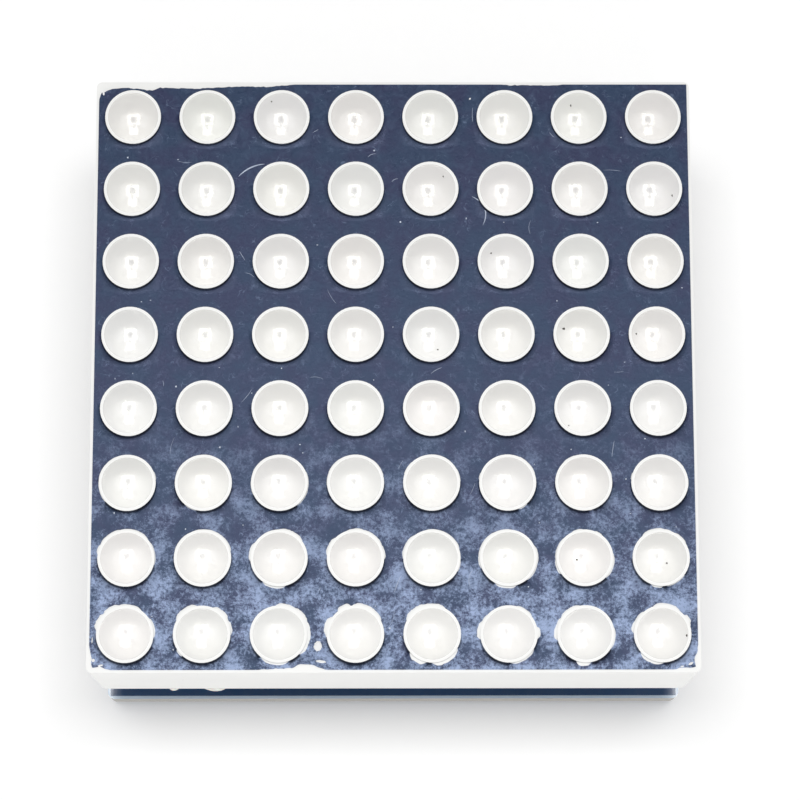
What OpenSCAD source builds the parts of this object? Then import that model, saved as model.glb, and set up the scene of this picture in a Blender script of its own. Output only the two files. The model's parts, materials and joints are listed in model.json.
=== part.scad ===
// 8 x 8 LED dot matrix on its driver board.
// The frame's origin is under the middle of the module, on the plane of the pin tips.
// +X runs to the right along a row of dots, +Y to the back edge, +Z out of the face.

/* [Face] */
// Dots along each side
dots = 8; // [6:1:9]
// Distance between the centres of neighbouring dots, which also sets the shell's width
pitch = 4; // [3.8:0.1:5]
// Diameter of a dot on the face
dot_d = 3; // [2.6:0.1:3.3]
// Width of the bare plastic rim round a dot
rim_w = 0.15; // [0.1:0.01:0.25]
// Height of that rim over the ink
rim_h = 0.12; // [0.05:0.01:0.25]
// Height of a dot's dome over its rim
dome_h = 0.06; // [0.03:0.01:0.2]
// Thickness of the printed ink on the face
ink_t = 0.05; // [0.03:0.01:0.1]
// Bare plastic between the ink and the edge of the shell
ink_margin = 0.15; // [0.05:0.01:0.3]

/* [Shell] */
// Height of the shell from its rear rim to the inked face
body_h = 8; // [7.5:0.1:10]
// Thickness of the side walls behind the cups
wall = 0.8; // [0.6:0.1:0.9]
// Radius of the shell's upright corners
corner_r = 0.3; // [0.1:0.05:0.6]
// Depth of the cup block, from the front of the shell to its back
cup_depth = 2.1; // [1.6:0.1:4]
// Diameter of a cup at its narrow back end
cup_back_d = 2; // [1.9:0.05:2.3]

/* [Casting] */
// Layer of casting between the cups and the LED board
seat_gap = 0.3; // [0.3:0.05:0.5]
// Distance from the rear rim up to the level of the casting
fill_recess = 0.4; // [0.2:0.1:0.8]
// Drop of the runs that came over the front rim
run_drop = 0.4; // [0.2:0.05:0.6]
// Reach of those runs behind the wall
run_reach = 0.3; // [0.1:0.05:0.6]

/* [LED board] */
// Thickness of the board that carries the dies
led_board_t = 1; // [0.8:0.1:1.2]
// Gap between the LED board's edge and the wall
led_board_gap = 0.2; // [0.1:0.05:0.3]
// Cut across each corner of the LED board
led_board_corner = 0.8; // [0.4:0.1:1]
// Thickness of the copper pads
led_pad_t = 0.04; // [0.03:0.01:0.06]
// Width of the pad under a die
die_pad_w = 0.6; // [0.5:0.05:0.7]
// Width of the pad that takes the bond wire
wire_pad_w = 0.4; // [0.3:0.05:0.45]

/* [Dies] */
// Width of a die
die_w = 0.3; // [0.2:0.05:0.4]
// Height of a die
die_h = 0.2; // [0.15:0.05:0.3]
// Distance of a die from the middle of its dot, towards the left
die_left = 0.1; // [0:0.01:0.2]
// Distance of a die from the middle of its dot, towards the back edge
die_back = 0.35; // [0.2:0.01:0.4]
// Diameter of a bond wire
wire_d = 0.05; // [0.04:0.01:0.06]
// Distance from the middle of a die to the middle of its wire pad
wire_span = 0.6; // [0.55:0.05:0.75]

/* [Pins] */
// Diameter of a pin
pin_d = 0.5; // [0.4:0.05:0.6]
// Distance between neighbouring pins
pin_pitch = 2.54; // [2:0.01:2.54]
// Pin standing out under the driver board
pin_tail = 1.2; // [1:0.1:2]
// Diameter of a pin at its very tip
pin_tip_d = 0.3; // [0.2:0.05:0.4]
// Length of the tapered tip
pin_tip_h = 0.1; // [0.05:0.05:0.3]
// Diameter of the head that holds a pin in the LED board
pin_head_d = 0.9; // [0.8:0.05:1]
// Height of that head
pin_head_h = 0.15; // [0.1:0.05:0.2]

/* [Driver board] */
// Width of the driver board, a little less than the shell's so that modules can butt
board_w = 31.9; // [30:0.1:32]
// Depth of the driver board from front to back
board_d = 32.4; // [31:0.1:34]
// Thickness of the driver board
board_t = 1.6; // [1:0.1:2]
// Space between the driver board and the shell's rear rim
board_gap = 3.6; // [3.2:0.1:6]
// Radius of the driver board's corners
board_corner_r = 0.4; // [0.2:0.1:1]
// Diameter of a plated hole for a pin, inside its plating
pin_hole_d = 0.8; // [0.7:0.05:0.9]
// Diameter of a plated hole for a wire, inside its plating
wire_hole_d = 1; // [0.8:0.05:1.1]
// Distance between neighbouring wire holes
wire_hole_pitch = 2.54; // [2.2:0.01:2.8]
// Wire holes along each side
wire_holes = 5; // [3:1:6]
// Distance from the board's side edge to the wire holes
wire_hole_inset = 1.95; // [1.3:0.05:2.2]
// Thickness of the plating and of the pads
plating_t = 0.05; // [0.03:0.01:0.08]
// Width of the ring of pad round a hole
ring_w = 0.35; // [0.2:0.05:0.4]
// Height of the solder cone round a pin
solder_h = 0.8; // [0.5:0.1:0.9]
// Thickness of the solder at the thin end of that cone
solder_neck_t = 0.03; // [0.02:0.01:0.1]

/* [Driver chip] */
// Leads on the chip
chip_leads_n = 24; // [16:2:24]
// Distance between neighbouring leads
lead_pitch = 1.27; // [1:0.01:1.27]
// Width of the chip's moulded body
chip_w = 7.5; // [7:0.1:8]
// Height of the moulded body
chip_h = 2.3; // [2:0.1:2.5]
// Body past the last lead at each end
chip_end = 0.7; // [0.5:0.1:1]
// Clear height under the body
chip_standoff = 0.2; // [0.1:0.05:0.25]
// Lean of the body's sides, from the leads in to the top and bottom
chip_draft = 0.25; // [0.1:0.05:0.4]
// Diameter of the dimple that marks the first lead
dimple_d = 1; // [0.6:0.1:1.5]
// Depth of that dimple
dimple_depth = 0.1; // [0.05:0.05:0.2]
// Distance from the body's end and side to the dimple's middle
dimple_inset = 1.5; // [1.2:0.1:2.5]
// Width of the chip over its leads
chip_span = 10.3; // [9.8:0.1:10.8]
// Width of a lead
lead_w = 0.41; // [0.3:0.01:0.5]
// Thickness of a lead
lead_t = 0.25; // [0.2:0.01:0.3]
// Length of the foot of a lead
lead_foot = 0.8; // [0.6:0.1:1]
// Length of a lead inside the body
lead_root = 0.4; // [0.2:0.1:0.8]
// Width of the pad under a lead
lead_pad_w = 0.6; // [0.5:0.05:0.8]
// Pad that shows past the tip of a lead
lead_pad_toe = 0.5; // [0.3:0.1:0.8]
// Pad that reaches back past the heel of a lead
lead_pad_heel = 0.3; // [0.1:0.1:0.5]

/* [Small parts] */
// Length of the metal end on each small part
end_cap_l = 0.4; // [0.2:0.1:0.6]
// Pad that shows past a part's end, and its reach inwards past the metal end
part_pad_toe = 0.2; // [0.1:0.1:0.5]
// Pad that shows along a part's side
part_pad_side = 0.1; // [0:0.05:0.3]

/* [Hidden] */
$fn = 48;
body_w = dots * pitch;
pins_per_row = dots;
rows = [1 : dots];

// Heights, from the pin tips up
board_z = pin_tail;
board_top = board_z + board_t;
back_z = board_top + board_gap;
face_z = back_z + body_h;
front_z = face_z - ink_t;
rim_z = face_z + rim_h;
block_z = front_z - cup_depth;
led_top = block_z - seat_gap;
led_bottom = led_top - led_board_t;
fill_z = back_z + fill_recess;

cavity_w = body_w - 2 * wall;
led_board_w = cavity_w - 2 * led_board_gap;
pin_row_y = body_w / 2 - pitch;
wire_hole_x = board_w / 2 - wire_hole_inset;
cup_front_d = dot_d - 2 * rim_w;
dome_r = (pow(cup_front_d / 2, 2) + pow(dome_h, 2)) / (2 * dome_h);

pad_z = board_top + plating_t;
chip_l = (chip_leads_n / 2 - 1) * lead_pitch + 2 * chip_end;
chip_bottom = pad_z + chip_standoff;
chip_top = chip_bottom + chip_h;
passive_row_y = (chip_span / 2 + pin_row_y) / 2;

// Small parts on the driver board: place along X, length, width, height of each
resistor_size = [2, 1.25, 0.5];
small_cap_size = [2, 1.25, 0.9];
large_cap_size = [3.2, 1.6, 1.4];
resistor_x = -5.5;
small_cap_x = 0;
large_cap_x = 5.5;

// Runs of casting over the front rim: place along X from the first dot, and width of each
run_list = [[2, 0.8], [4.2, 1.9]];

// Chips in the ink, as short outlines. A corner's start from that corner of the ink, an
// edge's from the place along X that stands with it, and the spot's from a place given by
// the dot to its left and a height over the front edge of the ink.
left_corner_chip = [[-1, -1], [0.95, -1], [0.8, 0.22], [0.36, 0.3], [0.28, 0.9], [0.34, 1.5], [-1, 1.8]];
right_corner_chip = [[1, -1], [-0.7, -1], [-0.62, 0.2], [-0.3, 0.34], [-0.42, 0.7], [-0.16, 1.1], [1, 1.2]];
back_edge_chip = [[-1, 1], [-1, -0.5], [0.3, -0.42], [0.4, -0.24], [1.2, -0.2], [2.9, -0.32], [3.2, -0.16],
    [5.4, -0.22], [7.6, -0.1], [9.2, -0.12], [10.2, 1]];
front_edge_chip = [[-1.8, -1], [-1.5, 0.06], [-0.2, 0.16], [0.1, 0.34], [0.8, 0.3], [1.1, 0.12], [1.7, -1]];
front_edge_chip_x = -5.2;
spot_chip = [[-0.28, -0.3], [0.22, -0.34], [0.3, -0.02], [0.04, 0.4], [-0.12, 0.28]];
spot_chip_dot = 3;
spot_chip_y = 1.25;

overrun = 1;
ink_w = body_w - 2 * ink_margin;

function pin_name(i) = str("pin_", i < 10 ? "0" : "", i);

// Place of a dot, counted from the left and from the back edge
function dot_x(i) = (i - (dots + 1) / 2) * pitch;
function dot_y(j) = ((dots + 1) / 2 - j) * pitch;

// Pins run left to right along the front row, then right to left along the back row
function pin_x(i) =
    i <= pins_per_row ? (i - (pins_per_row + 1) / 2) * pin_pitch
                      : ((3 * pins_per_row + 1) / 2 - i) * pin_pitch;
function pin_y(i) = i <= pins_per_row ? -pin_row_y : pin_row_y;

module at_dots()
    for (i = rows, j = rows)
        translate([dot_x(i), dot_y(j), 0])
            children();

module at_dots_of_row(j)
    for (i = rows)
        translate([dot_x(i), dot_y(j), 0])
            children();

module at_pins(first = 1, last = 2 * pins_per_row)
    for (i = [first : last])
        translate([pin_x(i), pin_y(i), 0])
            children();

module at_wire_holes()
    for (side = [-1, 1], k = [1 : wire_holes])
        translate([side * wire_hole_x, (k - (wire_holes + 1) / 2) * wire_hole_pitch, 0])
            children();

// Box centred on Z, from height z up
module plate(w, d, z, h)
    translate([-w / 2, -d / 2, z])
        cube([w, d, h]);

module round_plate(w, d, r, z, h)
    translate([0, 0, z])
        linear_extrude(h)
            union() {
                square([w - 2 * r, d], center = true);
                square([w, d - 2 * r], center = true);
                for (sx = [-1, 1], sy = [-1, 1])
                    translate([sx * (w / 2 - r), sy * (d / 2 - r)])
                        circle(r = r);
            }

// Space of one cup, from the back of the cup block to the top of its rim
module cup()
    translate([0, 0, block_z])
        cylinder(h = rim_z - block_z, d1 = cup_back_d, d2 = cup_front_d);

// Casting in one cup: the cup's own taper with a shallow dome on it
module cup_plug() {
    cup();
    intersection() {
        translate([0, 0, rim_z + dome_h - dome_r])
            sphere(r = dome_r);
        translate([0, 0, rim_z])
            cylinder(h = dome_h + overrun, d = cup_front_d);
    }
}

// One moulded housing: a block of tapered cups with raised rims, inside a square of walls
module reflector_shell()
    color("whitesmoke")
        difference() {
            union() {
                round_plate(body_w, body_w, corner_r, back_z, front_z - back_z);
                at_dots()
                    translate([0, 0, block_z])
                        cylinder(h = rim_z - block_z, d = dot_d);
            }
            plate(cavity_w, cavity_w, back_z - overrun, block_z - back_z + overrun);
            at_dots()
                cup();
        }

module ink_chips() {
    edge = ink_w / 2;
    translate([-edge, -edge])
        polygon(left_corner_chip);
    translate([edge, -edge])
        polygon(right_corner_chip);
    translate([-edge, edge])
        polygon(back_edge_chip);
    translate([front_edge_chip_x, -edge])
        polygon(front_edge_chip);
    translate([dot_x(spot_chip_dot) + pitch / 2, spot_chip_y - edge])
        polygon(spot_chip);
}

module face_ink()
    color([0.17, 0.19, 0.27])
        translate([0, 0, front_z])
            linear_extrude(ink_t)
                difference() {
                    square(ink_w, center = true);
                    at_dots()
                        circle(d = dot_d);
                    ink_chips();
                }

// A run of casting that came over the front rim: a flat bead under the wall, which
// reaches in behind it to a tongue that comes down from the casting
module casting_run(x, w) {
    r = (pow(w / 2, 2) + pow(run_drop, 2)) / (2 * run_drop);
    intersection() {
        translate([x, run_reach - cavity_w / 2, back_z - run_drop + r])
            rotate([90, 0, 0])
                cylinder(h = wall + run_reach, r = r);
        plate(body_w, body_w, back_z - run_drop - overrun, run_drop + overrun);
    }
    translate([x - w / 4, -cavity_w / 2, back_z - run_drop / 2])
        cube([w / 2, run_reach, fill_recess + run_drop / 2 + overrun / 2]);
}

module epoxy_casting()
    color("ivory")
        difference() {
            union() {
                plate(cavity_w, cavity_w, fill_z, block_z - fill_z);
                at_dots()
                    cup_plug();
                for (run = run_list)
                    casting_run(dot_x(1) + run[0], run[1]);
            }
            led_board_blank();
            led_pads_blank();
            for (j = rows) {
                die_row(j);
                wire_row(j);
            }
            at_pins()
                pin_blank();
        }

module led_board_blank() {
    c = led_board_w / 2;
    k = c - led_board_corner;
    translate([0, 0, led_bottom])
        linear_extrude(led_board_t)
            polygon([[k, -c], [c, -k], [c, k], [k, c], [-k, c], [-c, k], [-c, -k], [-k, -c]]);
}

module led_board()
    color("darkseagreen")
        difference() {
            led_board_blank();
            at_pins()
                translate([0, 0, led_bottom - overrun])
                    cylinder(h = led_board_t + 2 * overrun, d = pin_d);
        }

// The die sits on the first pad, and its wire comes down on the second
module led_pads_blank()
    at_dots()
        translate([-die_left, die_back, 0]) {
            plate(die_pad_w, die_pad_w, led_top, led_pad_t);
            translate([0, -wire_span, 0])
                plate(wire_pad_w, wire_pad_w, led_top, led_pad_t);
        }

module led_board_pads()
    color("gold")
        led_pads_blank();

module die_row(j)
    at_dots_of_row(j)
        translate([-die_left, die_back, 0])
            plate(die_w, die_w, led_top + led_pad_t, die_h);

// A bond wire: half a ring over the gap, with a straight leg down to the wire pad
module wire_row(j)
    at_dots_of_row(j)
        translate([-die_left, die_back, 0]) {
            translate([0, -wire_span / 2, led_top + led_pad_t + die_h])
                rotate([90, 0, 90])
                    rotate_extrude(angle = 180)
                        translate([wire_span / 2, 0])
                            circle(d = wire_d, $fn = 24);
            translate([0, -wire_span, led_top + led_pad_t])
                cylinder(h = die_h, d = wire_d, $fn = 24);
        }

module pin_blank() {
    cylinder(h = pin_tip_h, d1 = pin_tip_d, d2 = pin_d);
    translate([0, 0, pin_tip_h])
        cylinder(h = led_top - pin_tip_h, d = pin_d);
    translate([0, 0, led_top])
        cylinder(h = pin_head_h, d = pin_head_d);
}

module pin(i)
    color("silver")
        translate([pin_x(i), pin_y(i), 0])
            pin_blank();

// Plated hole: a barrel with a flat ring on each side of the board
module plated_hole(d) {
    outer = d + 2 * plating_t;
    difference() {
        union() {
            translate([0, 0, board_z])
                cylinder(h = board_t, d = outer);
            for (z = [board_z - plating_t, board_top])
                translate([0, 0, z])
                    cylinder(h = plating_t, d = outer + 2 * ring_w);
        }
        translate([0, 0, board_z - overrun])
            cylinder(h = board_t + 2 * overrun, d = d);
    }
}

module board_hole(d)
    translate([0, 0, board_z - overrun])
        cylinder(h = board_t + 2 * overrun, d = d + 2 * plating_t);

module driver_board()
    color("midnightblue")
        difference() {
            round_plate(board_w, board_d, board_corner_r, board_z, board_t);
            at_pins()
                board_hole(pin_hole_d);
            at_wire_holes()
                board_hole(wire_hole_d);
        }

module pin_hole_plating()
    color("gold")
        at_pins()
            plated_hole(pin_hole_d);

module wire_hole_plating()
    color("gold")
        at_wire_holes()
            plated_hole(wire_hole_d);

// Solder fills the barrel and climbs down the pin in a hollow cone
module solder_joint() {
    foot_r = pin_hole_d / 2 + plating_t + ring_w;
    neck_r = pin_d / 2 + solder_neck_t;
    curve_r = (pow(foot_r - neck_r, 2) + pow(solder_h, 2)) / (2 * (foot_r - neck_r));
    pad_under = board_z - plating_t;
    difference() {
        union() {
            translate([0, 0, pad_under])
                cylinder(h = board_t + 2 * plating_t, d = pin_hole_d);
            translate([0, 0, pad_under])
                rotate_extrude()
                    difference() {
                        translate([0, -solder_h])
                            square([foot_r, solder_h]);
                        translate([neck_r + curve_r, -solder_h])
                            circle(r = curve_r);
                    }
        }
        translate([0, 0, pad_under - solder_h - overrun])
            cylinder(h = solder_h + board_t + 2 * plating_t + 2 * overrun, d = pin_d);
    }
}

module solder_joints(first, last)
    color("gainsboro")
        at_pins(first, last)
            solder_joint();

// Profile of the chip's body: two drafted halves that meet at the leads
module chip_profile(w) {
    h = chip_h / 2;
    polygon([[-w / 2 + chip_draft, -h], [w / 2 - chip_draft, -h], [w / 2, 0],
        [w / 2 - chip_draft, h], [-w / 2 + chip_draft, h], [-w / 2, 0]]);
}

module at_leads()
    for (side = [0, 180], k = [1 : chip_leads_n / 2])
        rotate([0, 0, side])
            translate([(k - (chip_leads_n / 2 + 1) / 2) * lead_pitch, 0, 0])
                children();

// One gull-wing lead, drawn in the plane across the chip and given its width
module chip_lead() {
    mid = chip_bottom + chip_h / 2;
    y0 = chip_w / 2 - lead_root;
    knee = chip_span / 2 - lead_foot;
    tip = chip_span / 2;
    z0 = pad_z;
    rotate([90, 0, 90])
        translate([0, 0, -lead_w / 2])
            linear_extrude(lead_w)
                polygon([[y0, mid - lead_t / 2], [knee - 2 * lead_t, mid - lead_t / 2],
                    [knee - lead_t, z0], [tip, z0], [tip, z0 + lead_t], [knee, z0 + lead_t],
                    [knee - lead_t, mid + lead_t / 2], [y0, mid + lead_t / 2]]);
}

module chip_leads()
    color("silver")
        at_leads()
            chip_lead();

module driver_chip()
    color([0.12, 0.12, 0.13])
        difference() {
            translate([0, 0, chip_bottom + chip_h / 2])
                intersection() {
                    rotate([90, 0, 90])
                        translate([0, 0, -chip_l / 2])
                            linear_extrude(chip_l)
                                chip_profile(chip_w);
                    rotate([90, 0, 0])
                        translate([0, 0, -chip_w / 2])
                            linear_extrude(chip_w)
                                chip_profile(chip_l);
                }
            at_leads()
                chip_lead();
            translate([dimple_inset - chip_l / 2, dimple_inset - chip_w / 2, chip_top - dimple_depth])
                cylinder(h = overrun, d = dimple_d);
        }

// Solder at the toe of each lead
module chip_solder()
    color("gainsboro")
        at_leads()
            rotate([90, 0, 90])
                translate([chip_span / 2, pad_z, -lead_w / 2])
                    linear_extrude(lead_w)
                        polygon([[0, 0], [lead_t, 0], [0, lead_t]]);

module at_part(x)
    translate([x, -passive_row_y, 0])
        children();

module part_pads(size)
    for (side = [-1, 1])
        translate([side * size[0] / 2, 0, 0])
            plate(2 * (end_cap_l + part_pad_toe), size[1] + 2 * part_pad_side, board_top, plating_t);

module surface_pads()
    color("gold") {
        at_leads()
            translate([-lead_pad_w / 2, chip_span / 2 - lead_foot - lead_pad_heel, board_top])
                cube([lead_pad_w, lead_foot + lead_pad_heel + lead_pad_toe, plating_t]);
        at_part(resistor_x)
            part_pads(resistor_size);
        at_part(small_cap_x)
            part_pads(small_cap_size);
        at_part(large_cap_x)
            part_pads(large_cap_size);
    }

// A part's block lies between its two metal ends
module part_block(size)
    plate(size[0] - 2 * end_cap_l, size[1], pad_z, size[2]);

module part_ends(size)
    for (side = [-1, 1])
        translate([side * (size[0] - end_cap_l) / 2, 0, 0])
            plate(end_cap_l, size[1], pad_z, size[2]);

module resistor()
    color("black")
        at_part(resistor_x)
            part_block(resistor_size);

module resistor_ends()
    color("silver")
        at_part(resistor_x)
            part_ends(resistor_size);

module small_capacitor()
    color("tan")
        at_part(small_cap_x)
            part_block(small_cap_size);

module small_capacitor_ends()
    color("silver")
        at_part(small_cap_x)
            part_ends(small_cap_size);

module large_capacitor()
    color("peru")
        at_part(large_cap_x)
            part_block(large_cap_size);

module large_capacitor_ends()
    color("silver")
        at_part(large_cap_x)
            part_ends(large_cap_size);

module led_dies_row(j)
    color("crimson")
        die_row(j);

module bond_wires_row(j)
    color("gold")
        wire_row(j);

reflector_shell();
face_ink();
epoxy_casting();
led_board();
led_board_pads();
for (j = rows) led_dies_row(j);
for (j = rows) bond_wires_row(j);
for (i = [1 : 2 * pins_per_row]) pin(i);
driver_board();
pin_hole_plating();
wire_hole_plating();
surface_pads();
solder_joints(1, pins_per_row);  // solder_joints_front
solder_joints(pins_per_row + 1, 2 * pins_per_row);  // solder_joints_back
driver_chip();
chip_leads();
chip_solder();
resistor();
resistor_ends();
small_capacitor();
small_capacitor_ends();
large_capacitor();
large_capacitor_ends();
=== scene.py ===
"""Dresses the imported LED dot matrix: milky dots, printed ink, white moulding and a blue driver board."""

import json

import bmesh
import bpy
import numpy as np
from mathutils import Matrix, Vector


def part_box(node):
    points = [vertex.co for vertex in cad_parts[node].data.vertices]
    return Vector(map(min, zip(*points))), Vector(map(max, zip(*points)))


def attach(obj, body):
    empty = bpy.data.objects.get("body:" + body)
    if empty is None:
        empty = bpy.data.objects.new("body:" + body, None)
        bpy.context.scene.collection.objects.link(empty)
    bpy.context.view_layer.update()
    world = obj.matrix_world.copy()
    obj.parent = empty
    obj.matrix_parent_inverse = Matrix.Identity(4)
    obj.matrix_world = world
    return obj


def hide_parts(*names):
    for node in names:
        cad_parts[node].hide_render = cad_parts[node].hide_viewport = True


bl_info = {
    "name": "LED Dot Matrix",
    "version": (1, 0, 0),
    "blender": (4, 5, 0),
    "location": "View3D > Sidebar > Dot Matrix",
    "description": "Builds the dots, the wear and the finishes of an LED dot matrix around its solid model",
    "category": "Object",
}

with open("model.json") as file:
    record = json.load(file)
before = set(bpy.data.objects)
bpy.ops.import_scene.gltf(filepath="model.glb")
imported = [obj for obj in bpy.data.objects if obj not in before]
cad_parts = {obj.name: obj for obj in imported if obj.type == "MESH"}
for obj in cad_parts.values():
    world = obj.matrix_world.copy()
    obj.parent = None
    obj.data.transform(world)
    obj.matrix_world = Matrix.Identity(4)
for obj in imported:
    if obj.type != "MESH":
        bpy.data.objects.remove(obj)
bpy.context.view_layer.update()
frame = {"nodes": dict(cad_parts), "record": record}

MM = 0.001
PER_MM = 1000.0
SEED = 8

SHELL_LOW, SHELL_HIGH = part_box("reflector_shell")
INK_LOW, INK_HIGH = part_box("face_ink")
CASTING_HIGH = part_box("epoxy_casting")[1]
BOARD_LOW, BOARD_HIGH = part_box("driver_board")
LED_LOW, LED_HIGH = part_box("led_board")

DOTS = 8
SHELL_W = SHELL_HIGH.x - SHELL_LOW.x
PITCH = SHELL_W / DOTS
FACE_Z = INK_HIGH.z
RIM_Z = SHELL_HIGH.z
BACK_Z = SHELL_LOW.z
DOME_H = CASTING_HIGH.z - RIM_Z
DOT_R = 1.5 * MM
CUP_FRONT_R = 1.35 * MM
CUP_BACK_R = 1.0 * MM
CUP_BACK_Z = LED_HIGH.z + 0.3 * MM
FILL_Z = BACK_Z + 0.4 * MM
CAVITY_HALF = SHELL_W / 2 - 0.8 * MM
PIN_ROW_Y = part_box("pin_16")[0].y / 2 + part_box("pin_16")[1].y / 2
PIN_XS = [(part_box(f"pin_{i:02d}")[0].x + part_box(f"pin_{i:02d}")[1].x) / 2 for i in range(1, DOTS + 1)]
BOARD_HALF = (BOARD_HIGH.x, BOARD_HIGH.y)
# Width of the painted highlight along the driver board's top edge
EDGE_HIGHLIGHT_BAND = 0.16 * MM
# Pitch of the dots in whole millimetres, for scattering marks between them
GRID_MM = 4

# Depth of the chips in the ink's edges, as pairs of place along the edge and depth in millimetres:
# right edge, back edge, left edge and front edge
INK_CHIPS = (
    [[-15.9, 0.12], [-15.2, 0.2], [-14.9, 0.03], [-14.6, 0], [16, 0]],
    [
        *[[-15.9, 0.5], [-15.5, 0.42], [-15.2, 0.22], [-14.3, 0.2], [-13, 0.34], [-12.6, 0.18], [-10.6, 0.24]],
        *[[-8.4, 0.11], [-6.8, 0.13], [-5.8, 0.06], [-5.4, 0], [5.9, 0], [6.2, 0.05], [8.8, 0.04], [9.1, 0], [16, 0]],
    ],
    [[-15.9, 0.3], [-15.6, 0.1], [-15.3, 0.16], [-14.9, 0.04], [-14.7, 0], [15, 0], [15.3, 0.1], [15.9, 0.2]],
    [
        *[[-15.9, 0.25], [-15.7, 0.08], [-15.3, 0.18], [-15, 0.05], [-14.8, 0], [-7, 0], [-6.2, 0.05], [-5.2, 0.12]],
        *[[-4.9, 0.3], [-4.2, 0.28], [-3.9, 0.1], [-3.5, 0], [14.6, 0], [15, 0.12], [15.4, 0.06], [15.9, 0.2]],
    ],
)
# Loose flakes on the ink: x, y, half length, half width in millimetres, and turn in radians
INK_FLAKES = (
    (-3.95, -14.62, 0.2, 0.28, 0.3),
    (-3.8, -15.42, 0.3, 0.07, -0.2),
    (-15.62, -15.35, 0.07, 0.1, 0.5),
    (-15.25, -15.62, 0.13, 0.05, 0.1),
    (-15.7, -14.3, 0.03, 0.16, 0.0),
    (15.45, -15.55, 0.12, 0.07, 0.4),
    (15.0, -15.7, 0.09, 0.04, 0.0),
    (-15.62, 15.35, 0.05, 0.12, 0.3),
    (4.15, 15.05, 0.05, 0.05, 0.0),
)


# ---------------------------------------------------------------- colours and nodes


def linear(code):
    """Turns an sRGB hex colour into linear red, green and blue."""
    srgb = np.array([int(code[i : i + 2], 16) for i in (0, 2, 4)]) / 255.0
    rgb = np.where(srgb <= 0.04045, srgb / 12.92, ((srgb + 0.055) / 1.055) ** 2.4)
    return tuple(float(c) for c in rgb)


def rgba(colour):
    """A hex code or a linear colour with full alpha, as a colour socket takes it."""
    return (*(linear(colour) if isinstance(colour, str) else colour), 1.0)


def add(tree, kind, inputs=None, **settings):
    """Adds one node, sets its properties, and sets or links each named input."""
    node = tree.nodes.new(kind)
    for key, value in settings.items():
        setattr(node, key, value)
    for socket, source in (inputs or {}).items():
        if isinstance(source, bpy.types.NodeSocket):
            tree.links.new(source, node.inputs[socket])
        else:
            node.inputs[socket].default_value = source
    return node


def start_material(name, **values):
    """A new material with one Principled shader, its constant values set on the sockets."""
    material = bpy.data.materials.new(name)
    material.use_nodes = True
    tree = material.node_tree
    tree.nodes.clear()
    shader = add(tree, "ShaderNodeBsdfPrincipled", {k.replace("_", " "): v for k, v in values.items()})
    add(tree, "ShaderNodeOutputMaterial", {"Surface": shader.outputs[0]})
    coords = add(tree, "ShaderNodeTexCoord").outputs["Object"]
    return material, tree, shader, coords


def noise(tree, coords, grain_mm, detail, **more):
    """Noise whose grain is about so many millimetres across."""
    more = {"Vector": coords, "Scale": PER_MM / grain_mm, "Detail": detail, **more}
    return add(tree, "ShaderNodeTexNoise", more).outputs[0]


def blend(tree, share, first, second):
    """The first colour, with a share of the second mixed in."""
    return add(tree, "ShaderNodeMix", {0: share, 6: first, 7: second}, data_type="RGBA").outputs[2]


def calculate(tree, operation, *values):
    """One step of arithmetic on values and sockets."""
    return add(tree, "ShaderNodeMath", dict(enumerate(values)), operation=operation).outputs[0]


def emboss(tree, shader, strength, depth_mm, height):
    """Bumps the shader's surface by a height."""
    bump = add(tree, "ShaderNodeBump", {"Strength": strength, "Distance": depth_mm * MM, "Height": height})
    tree.links.new(bump.outputs[0], shader.inputs["Normal"])


# ---------------------------------------------------------------- meshes


def mesh_piece(name, points, faces, material, smooth=True):
    """Makes an object at the origin from arrays of points and faces, and rides it on the part."""
    mesh = bpy.data.meshes.new(name)
    mesh.from_pydata(points.reshape(-1, 3).tolist(), [], faces.tolist())
    mesh.polygons.foreach_set("use_smooth", np.full(len(mesh.polygons), smooth))
    mesh.materials.append(material)
    mesh.update()
    piece = bpy.data.objects.new(name, mesh)
    bpy.context.scene.collection.objects.link(piece)
    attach(piece, "root")
    return piece


def grid_faces(rows, columns, wrap_rows=False, wrap_columns=False):
    """Quads of a grid of points laid out row by row, joined round in either direction if asked."""
    r = np.arange(rows if wrap_rows else rows - 1)[:, None]
    c = np.arange(columns if wrap_columns else columns - 1)[None, :]
    r2, c2 = (r + 1) % rows, (c + 1) % columns
    quads = np.stack([r * columns + c, r * columns + c2, r2 * columns + c2, r2 * columns + c], -1)
    return quads.reshape(-1, 4)


def repeat_faces(faces, stride, copies):
    """The same faces for each of several copies, whose points follow each other by stride."""
    return (faces[None] + (np.arange(copies) * stride)[:, None, None]).reshape(-1, faces.shape[1])


def dot_centres():
    """Middles of the dots, row by row from the back edge, left to right."""
    along = (np.arange(DOTS) - (DOTS - 1) / 2) * PITCH
    x, y = np.meshgrid(along, -along)
    return np.stack([x.ravel(), y.ravel()], -1)


def capped_turn(radius, height, segments):
    """Turns a profile of radii and heights round Z. Both ends of the profile have a radius of
    zero, so its first and last rings shrink to poles. Formula: (r cos t, r sin t, z)."""
    angle = np.linspace(0, 2 * np.pi, segments, endpoint=False)
    x = radius[:, None] * np.cos(angle)
    y = radius[:, None] * np.sin(angle)
    z = np.broadcast_to(height[:, None], x.shape)
    return np.stack([x, y, z], -1)


def polar_faces(rings, segments):
    """Faces of a closed turned form whose first and last rings are poles: quads between the
    rings. recalculate() merges the points of each pole, so its quads become triangles."""
    return grid_faces(rings, segments, wrap_columns=True)[:, ::-1]


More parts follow.
